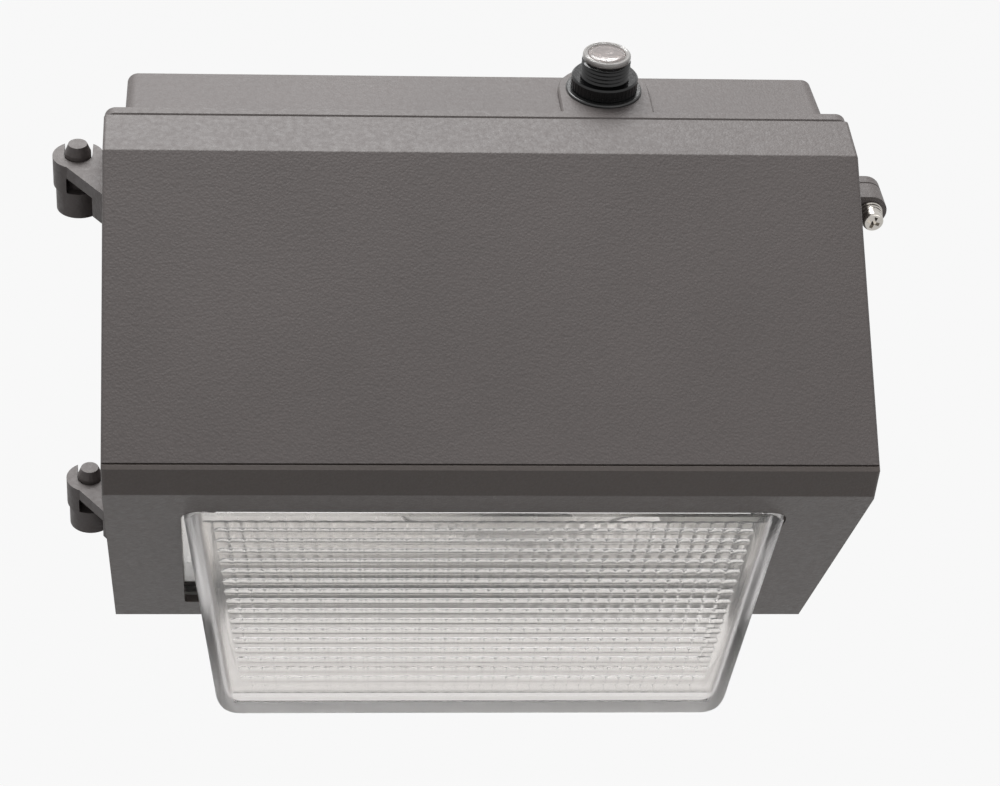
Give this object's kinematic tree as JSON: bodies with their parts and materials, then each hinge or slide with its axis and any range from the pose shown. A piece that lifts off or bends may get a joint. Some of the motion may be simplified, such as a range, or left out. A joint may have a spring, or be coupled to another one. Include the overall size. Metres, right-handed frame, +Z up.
{
  "type": "wall pack light",
  "caption": "Wall-mounted outdoor wall pack: shallow back box, side-hinged sloped hood with ribbed glass refractor, captive latch screw and button photocell.",
  "frame": {"origin": "centre of the back box's wall face, mid-height of the door", "axes": "+X to the right seen from the front, +Y into the wall, +Z up"},
  "size_m": [0.3688, 0.1925, 0.2505],
  "materials": {
    "housing_paint": "textured bronze powder coat",
    "glass_clear": "clear prismatic pressed glass",
    "bulb_glass": "clear glass",
    "cap_plastic": "clear polycarbonate window",
    "black_plastic": "moulded black",
    "sensor_white": "pale sensor face",
    "rubber_dark": "soft",
    "silicone": "grey silicone",
    "zinc": "bright plated",
    "reflector_alu": "hammered bright",
    "porcelain": "glazed",
    "brass": "plated",
    "galvanised": "galvanised",
    "core_steel": "varnished laminations",
    "coil_tape": "taped winding",
    "can_alu": "drawn can",
    "ground_green": "green"
  },
  "bodies": {
    "back_box": {"back_box": "housing_paint", "conduit_plug_bottom": "housing_paint", "conduit_plug_left": "housing_paint", "conduit_plug_right": "housing_paint", "ground_screw": "ground_green", "hinge_pin_lower": "housing_paint", "hinge_pin_upper": "housing_paint", "photocell_body": "black_plastic", "photocell_cap": "cap_plastic", "photocell_gasket": "rubber_dark", "photocell_nut": "black_plastic", "photocell_sensor": "sensor_white"},
    "door": {"ballast_coil": "coil_tape", "ballast_core": "core_steel", "capacitor": "can_alu", "capacitor_strap": "galvanised", "clip_screw_1": "zinc", "clip_screw_2": "zinc", "clip_screw_3": "zinc", "clip_screw_4": "zinc", "door_gasket": "silicone", "door_hood": "housing_paint", "frame_screw_1": "zinc", "frame_screw_2": "zinc", "frame_screw_3": "zinc", "frame_screw_4": "zinc", "gear_tray": "galvanised", "ignitor": "black_plastic", "lamp_arc_tube": "porcelain", "lamp_base": "brass", "lamp_bulb": "bulb_glass", "lampholder": "porcelain", "lens_clip_1": "galvanised", "lens_clip_2": "galvanised", "lens_clip_3": "galvanised", "lens_clip_4": "galvanised", "lens_frame": "housing_paint", "lens_gasket": "silicone", "lens_glass": "glass_clear", "reflector": "reflector_alu", "reflector_screw_1": "zinc", "reflector_screw_2": "zinc", "reflector_screw_3": "zinc", "reflector_screw_4": "zinc", "terminal_block": "black_plastic", "tray_screw_1": "zinc", "tray_screw_2": "zinc", "tray_screw_3": "zinc", "tray_screw_4": "zinc"},
    "latch_washers": {"latch_washer_inner": "zinc", "latch_washer_outer": "zinc", "latch_lock_washer": "zinc"},
    "latch_screw": {"latch_screw": "zinc"}
  },
  "joints": [
    {"name": "door_hinge", "type": "hinge", "parent": "back_box", "child": "door", "pos_m": [-0.17439, -0.043, 0], "axis": [0, 0, -1], "range_deg": [0, 105]},
    {"name": "latch_back_out", "type": "slide", "parent": "door", "child": "latch_washers", "axis": [0, -1, 0], "range_m": [0, 0.0064]},
    {"name": "latch_turn", "type": "hinge", "parent": "latch_washers", "child": "latch_screw", "pos_m": [0.17559, -0.063, 0.07665], "axis": [0, -1, 0], "range_deg": [0, 2880]}
  ],
  "couplings": [
    {"joint": "latch_turn", "follows": "latch_back_out", "rad_per_m": 7854}
  ]
}
